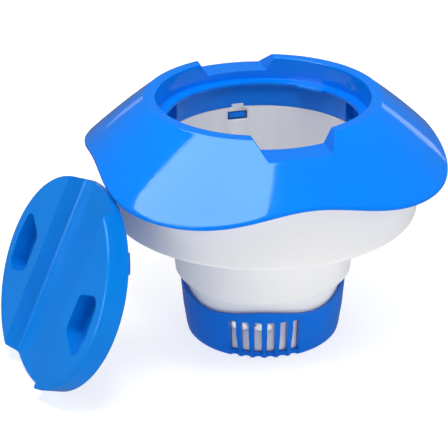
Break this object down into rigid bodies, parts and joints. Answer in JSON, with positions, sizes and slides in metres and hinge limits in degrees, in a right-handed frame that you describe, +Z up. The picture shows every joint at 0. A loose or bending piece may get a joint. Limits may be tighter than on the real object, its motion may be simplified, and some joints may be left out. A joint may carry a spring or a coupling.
{
  "type": "floating chlorine dispenser",
  "caption": "Floating pool dispenser: a skirted float round a tablet well, telescoping tiers, a turning vent cup that meters the flow, and a twist-lock lid leaning beside it.",
  "frame": {"origin": "centre of the vent cup's base, on the axis, at the surface that the dispenser stands on", "axes": "+Z up the dispenser's axis, -Y towards the front vents, the lid leans on the -X side"},
  "size_m": [0.2478, 0.2139, 0.1414],
  "materials": {
    "float_blue": "gloss",
    "lid_blue": "satin",
    "cup_blue": "satin",
    "white": "satin",
    "foam": "matte",
    "seal": "matte",
    "washer": "matte"
  },
  "bodies": {
    "float": {"float_shell": "float_blue", "bowl": "white", "float_foam": "foam"},
    "upper": {"upper_tier": "white"},
    "lower": {"lower_tier": "white"},
    "cup": {"vent_cup": "cup_blue", "vent_retainer": "washer"},
    "seal": {"lid_gasket": "seal"},
    "lid": {"lid_cap": "lid_blue"}
  },
  "joints": [
    {"name": "upper_tier_slide", "type": "slide", "parent": "float", "child": "upper", "axis": [0, 0, 1], "range_m": [0, 0.036]},
    {"name": "lower_tier_slide", "type": "slide", "parent": "upper", "child": "lower", "axis": [0, 0, 1], "range_m": [0, 0.035]},
    {"name": "vent_turn", "type": "hinge", "parent": "lower", "child": "cup", "pos_m": [0, 0, 0], "axis": [0, 0, 1], "range_deg": [-20, 36]},
    {"name": "lid_lift", "type": "slide", "parent": "float", "child": "seal", "axis": [-0.8171, -0.4437, 0.3681], "range_m": [0, 0.06]},
    {"name": "lid_turn", "type": "hinge", "parent": "seal", "child": "lid", "pos_m": [-0.11477, -0.06232, 0.05863], "axis": [-0.8171, -0.4437, 0.3681], "range_deg": [-40, 0]}
  ]
}
